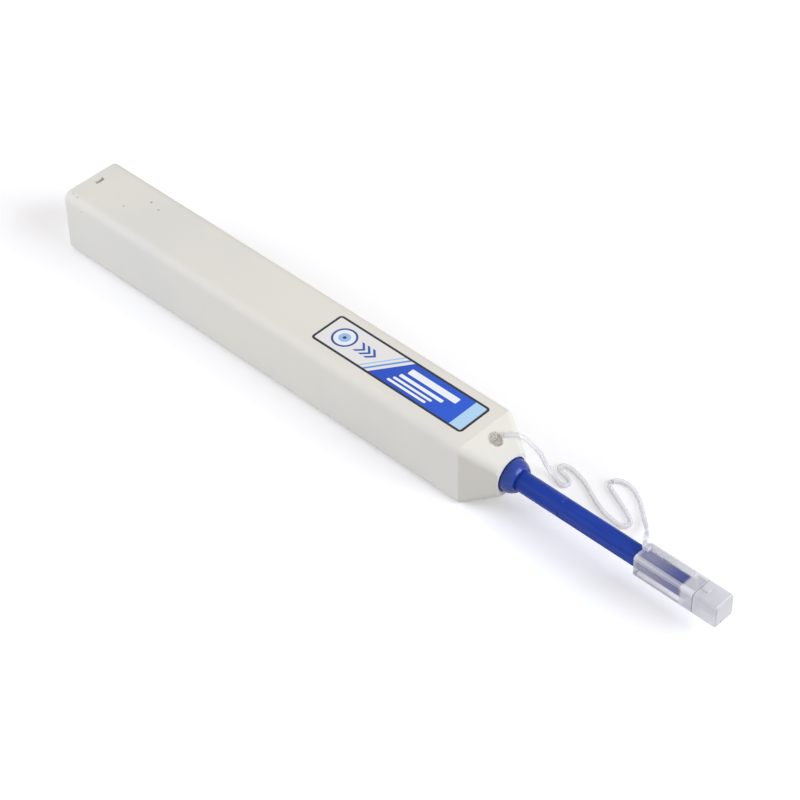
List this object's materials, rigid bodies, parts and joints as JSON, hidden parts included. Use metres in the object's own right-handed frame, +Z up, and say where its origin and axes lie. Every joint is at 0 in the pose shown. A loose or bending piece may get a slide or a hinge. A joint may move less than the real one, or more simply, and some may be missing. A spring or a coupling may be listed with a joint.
{
  "type": "fibre connector cleaning pen",
  "caption": "Square pen-shaped fibre connector cleaner: case with tapered nose, slim spring-loaded nozzle and a clear flip-lid guide cap on a thin tether.",
  "frame": {"origin": "under the middle of the pen's length, on the flat bottom of the case", "axes": "+X along the pen to the cap, +Z up out of the labelled face, +Y to the side the tether lies on"},
  "size_m": [0.201, 0.0314, 0.018],
  "materials": {
    "case_white": "smooth ivory ABS, faintly satin",
    "cover_white": "smooth ivory ABS",
    "label_print": "printed film: blue and white fields in a black border",
    "acetal_white": "natural acetal",
    "acetal_grey": "grey acetal",
    "nozzle_blue": "moulded blue plastic",
    "collar_blue": "moulded blue plastic",
    "clear_strap": "clear flexible plastic",
    "clear_plug": "clear plastic",
    "clear_cap": "clear, slightly milky plastic",
    "steel": "drawn steel",
    "spring_steel": "spring wire",
    "felt": "felt washer",
    "thread": "fine woven polyester thread"
  },
  "bodies": {
    "case": {"case_shell": "case_white", "base_cover": "cover_white", "label": "label_print", "drive_rack": "acetal_grey", "cam_pin": "steel", "strap_plug": "clear_plug", "strap": "clear_strap"},
    "nozzle": {"chassis": "acetal_white", "chassis_cover": "acetal_white", "nozzle_retainer": "acetal_white", "nozzle_tube": "nozzle_blue", "nozzle_collar": "collar_blue", "rod_guide": "acetal_white", "guide_pins": "steel", "thread_feed": "thread", "thread_return": "thread", "return_spring": "spring_steel", "head_spring": "spring_steel", "reel_brakes": "felt"},
    "supply": {"supply_reel": "acetal_grey", "supply_winding": "thread"},
    "takeup": {"takeup_reel": "acetal_grey", "takeup_winding": "thread", "takeup_pinion": "acetal_white"},
    "head": {"cam_spindle": "acetal_white", "head_rod": "steel", "cleaning_tip": "acetal_white", "rod_thread": "thread"},
    "cap": {"guide_cap": "clear_cap"},
    "lid": {"cap_lid": "clear_cap"}
  },
  "joints": [
    {"name": "nozzle_push", "type": "slide", "parent": "case", "child": "nozzle", "axis": [-1, 0, 0], "range_m": [0, 0.008], "stiffness_N_per_m": 250, "springref_m": -0.008, "deforming": ["return_spring", "strap"]},
    {"name": "head_spin", "type": "hinge", "parent": "nozzle", "child": "head", "pos_m": [0, 0, 0.009], "axis": [1, 0, 0], "range_deg": [0, 180]},
    {"name": "takeup_spin", "type": "hinge", "parent": "nozzle", "child": "takeup", "pos_m": [-0.0345, 0, 0.009], "axis": [0, -1, 0], "range_deg": [0, 96]},
    {"name": "supply_spin", "type": "hinge", "parent": "nozzle", "child": "supply", "pos_m": [-0.05, 0, 0.009], "axis": [0, -1, 0], "range_deg": [0, 49]},
    {"name": "cap_pull", "type": "slide", "parent": "nozzle", "child": "cap", "axis": [1, 0, 0], "range_m": [0, 0.016]},
    {"name": "lid_hinge", "type": "hinge", "parent": "cap", "child": "lid", "pos_m": [0.09415, 0.0034, 0.009], "axis": [0, 0, 1], "range_deg": [0, 150]}
  ],
  "couplings": [
    {"joint": "head_spin", "follows": "nozzle_push", "rad_per_m": 392.69},
    {"joint": "takeup_spin", "follows": "nozzle_push", "rad_per_m": 208.33},
    {"joint": "supply_spin", "follows": "nozzle_push", "rad_per_m": 104.16}
  ]
}
